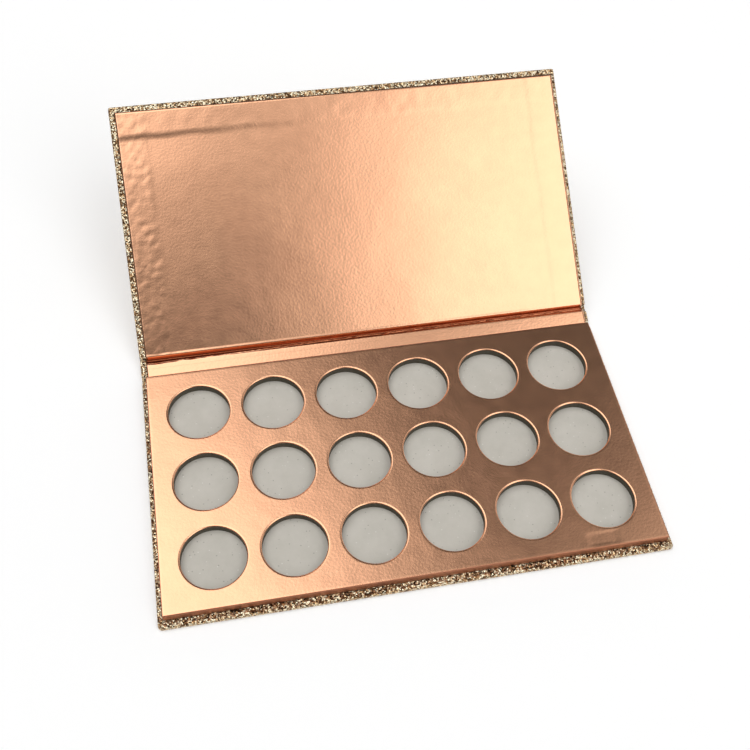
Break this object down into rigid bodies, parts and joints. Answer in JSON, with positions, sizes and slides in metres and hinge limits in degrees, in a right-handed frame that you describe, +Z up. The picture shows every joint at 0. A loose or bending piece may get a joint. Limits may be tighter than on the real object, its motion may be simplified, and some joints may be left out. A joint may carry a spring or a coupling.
{
  "type": "eyeshadow palette",
  "caption": "Empty book-style eyeshadow palette: a paper-wrapped board case with a tray of round pan wells and a lid that folds over on a creased paper spine.",
  "frame": {"origin": "on the underside of the base, below the centre of the grid of wells", "axes": "+X along the width to the right, +Y to the back where the hinge is, +Z up"},
  "size_m": [0.2136, 0.2271, 0.0681],
  "materials": {
    "rose_gold_paper": "gloss",
    "glitter_paper": "satin",
    "greyboard": "matte",
    "magnet_nickel": "satin"
  },
  "bodies": {
    "base": {"base_board": "greyboard", "base_glitter_wrap": "glitter_paper", "base_foil_flange": "rose_gold_paper", "tray_floor_board": "greyboard", "tray_grid_board_lower": "greyboard", "tray_grid_board_upper": "greyboard", "tray_foil_cover": "rose_gold_paper", "tray_magnet_left": "magnet_nickel", "tray_magnet_right": "magnet_nickel", "lower_hinge_paper": "glitter_paper", "lower_hinge_foil": "rose_gold_paper"},
    "spine": {"spine_board": "greyboard", "spine_glitter_wrap": "glitter_paper", "spine_foil_liner": "rose_gold_paper", "upper_hinge_paper": "glitter_paper", "upper_hinge_foil": "rose_gold_paper"},
    "lid": {"lid_board": "greyboard", "lid_glitter_wrap": "glitter_paper", "lid_foil_liner": "rose_gold_paper", "lid_magnet_left": "magnet_nickel", "lid_magnet_right": "magnet_nickel"}
  },
  "joints": [
    {"name": "base_crease", "type": "hinge", "parent": "base", "child": "spine", "pos_m": [0, 0.0595, 0.0001], "axis": [1, 0, 0], "range_deg": [-20, 70], "deforming": ["lower_hinge_paper", "lower_hinge_foil"]},
    {"name": "lid_crease", "type": "hinge", "parent": "spine", "child": "lid", "pos_m": [0, 0.06796, 0.00318], "axis": [1, 0, 0], "range_deg": [-12.6, 77.4], "deforming": ["upper_hinge_paper", "upper_hinge_foil"]}
  ]
}
